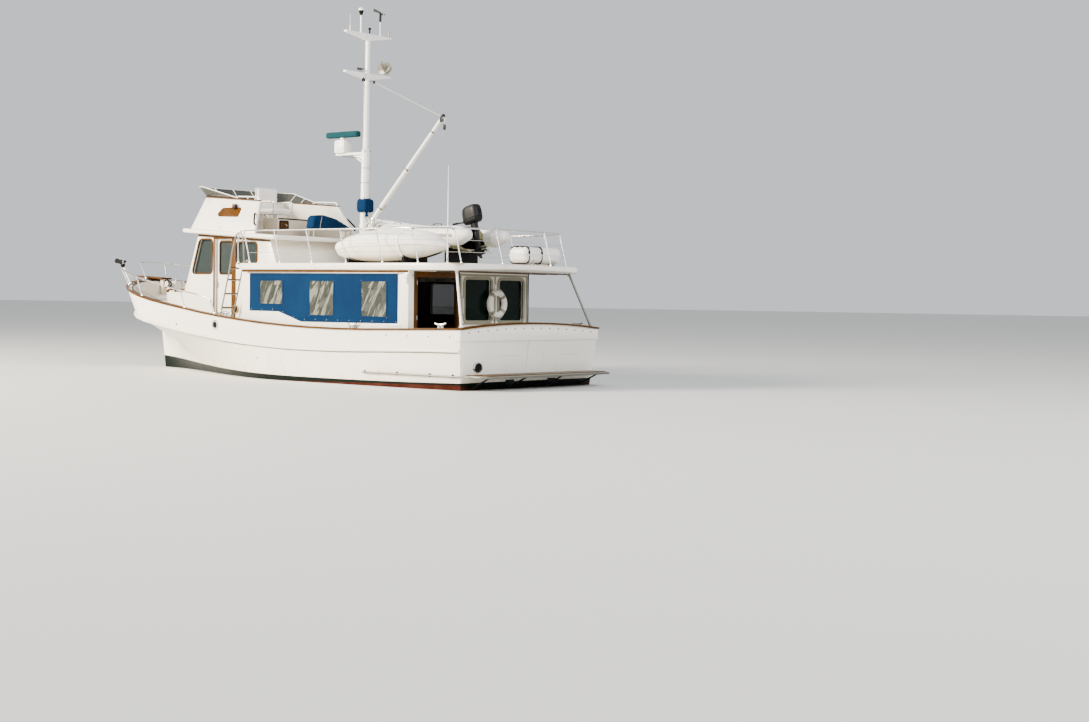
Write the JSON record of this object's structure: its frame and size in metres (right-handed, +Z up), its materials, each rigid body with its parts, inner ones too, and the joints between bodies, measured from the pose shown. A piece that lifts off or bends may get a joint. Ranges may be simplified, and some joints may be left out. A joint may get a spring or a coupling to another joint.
{
  "type": "trawler yacht",
  "caption": "Displacement motor boat with a raised wheelhouse, flybridge, covered saloon, boat deck with stowed boats, radar mast and cargo boom, and a full keel with rudder and propeller.",
  "frame": {"origin": "on the waterline, on the centreplane, amidships", "axes": "+X forward to the bow, +Y to port, +Z up"},
  "size_m": [12.2789, 4.4622, 8.84],
  "materials": {
    "hull_paint": "white gelcoat over a red-brown bottom",
    "gelcoat": "glossy warm white",
    "teak": "varnished red-brown",
    "glass": "dark tinted",
    "smoked_screen": "smoked",
    "canvas": "matt blue woven",
    "rail_steel": "polished",
    "white_paint": "satin white",
    "bronze": "dull",
    "bottom_paint": "matt red-brown",
    "black_plastic": "glossy black",
    "white_plastic": "satin white",
    "locker_plastic": "matt beige",
    "vinyl": "satin off-white",
    "tender_rubber": "matt off-white",
    "scanner_cover": "matt grey-blue"
  },
  "bodies": {
    "boat": {"hull": "hull_paint", "cap_rail": "teak", "rub_strake": "gelcoat", "foredeck_trunk": "gelcoat", "windlass": "white_paint", "bow_platform": "teak", "bow_rail_port": "rail_steel", "bow_rail_starboard": "rail_steel", "bow_davit": "white_paint", "pilothouse": "gelcoat", "window_fore_port": "glass", "window_aft_port": "glass", "window_fore_starboard": "glass", "window_aft_starboard": "glass", "windscreen": "glass", "pilothouse_roof": "gelcoat", "flybridge_coaming": "gelcoat", "flybridge_screen": "smoked_screen", "helm_console": "gelcoat", "helm_wheel": "rail_steel", "helm_seat": "vinyl", "flybridge_locker": "locker_plastic", "locker_cover": "canvas", "cover_rack": "rail_steel", "saloon": "gelcoat", "saloon_windows_port": "glass", "saloon_windows_starboard": "glass", "saloon_windows_aft": "glass", "side_canvas": "canvas", "boat_deck": "gelcoat", "cockpit_post_port": "white_paint", "cockpit_post_starboard": "white_paint", "ring_buoy": "white_plastic", "boat_deck_rail": "rail_steel", "boat_deck_ladder": "rail_steel", "mast": "white_paint", "satellite_dome": "white_plastic", "masthead_light": "glass", "radar_reflector": "rail_steel", "radar_pedestal": "white_plastic", "gooseneck_bracket": "rail_steel", "winch_cover": "canvas", "skiff": "white_plastic", "skiff_chocks": "black_plastic", "tender": "tender_rubber", "tender_chocks": "black_plastic", "outboard": "black_plastic", "life_raft": "white_plastic", "swim_platform": "white_paint"},
    "rudder": {"rudder": "bottom_paint"},
    "propeller": {"propeller": "bronze"},
    "foredeck_hatch": {"foredeck_hatch": "gelcoat"},
    "pilothouse_door_port": {"pilothouse_door_port": "gelcoat"},
    "pilothouse_door_starboard": {"pilothouse_door_starboard": "gelcoat"},
    "saloon_door": {"saloon_door": "teak"},
    "radar_scanner": {"radar_scanner": "scanner_cover"},
    "gooseneck": {"gooseneck": "rail_steel"},
    "boom": {"boom": "white_paint"}
  },
  "joints": [
    {"name": "rudder_turn", "type": "hinge", "parent": "boat", "child": "rudder", "pos_m": [-5.3, 0, -0.8], "axis": [0, 0, 1], "range_deg": [-35, 35]},
    {"name": "propeller_spin", "type": "hinge", "parent": "boat", "child": "propeller", "pos_m": [-4.78, 0, -0.88], "axis": [1, 0, 0], "continuous": true},
    {"name": "foredeck_hatch_lift", "type": "hinge", "parent": "boat", "child": "foredeck_hatch", "pos_m": [3.64, 0, 1.7505], "axis": [0, 1, 0], "range_deg": [0, 90]},
    {"name": "pilothouse_door_port_slide", "type": "slide", "parent": "boat", "child": "pilothouse_door_port", "axis": [-1, 0, 0], "range_m": [0, 0.54]},
    {"name": "pilothouse_door_starboard_slide", "type": "slide", "parent": "boat", "child": "pilothouse_door_starboard", "axis": [-1, 0, 0], "range_m": [0, 0.54]},
    {"name": "saloon_door_slide", "type": "slide", "parent": "boat", "child": "saloon_door", "axis": [0, 1, 0], "range_m": [0, 1.15]},
    {"name": "radar_spin", "type": "hinge", "parent": "boat", "child": "radar_scanner", "pos_m": [-0.88, 0, 5], "axis": [0, 0, 1], "continuous": true},
    {"name": "boom_swing", "type": "hinge", "parent": "boat", "child": "gooseneck", "pos_m": [-1.75, 0, 3.2], "axis": [0, 0, 1], "range_deg": [-85, 85]},
    {"name": "boom_luff", "type": "hinge", "parent": "gooseneck", "child": "boom", "pos_m": [-1.75, 0, 3.24], "axis": [0, 1, 0], "range_deg": [-25, 25]}
  ]
}
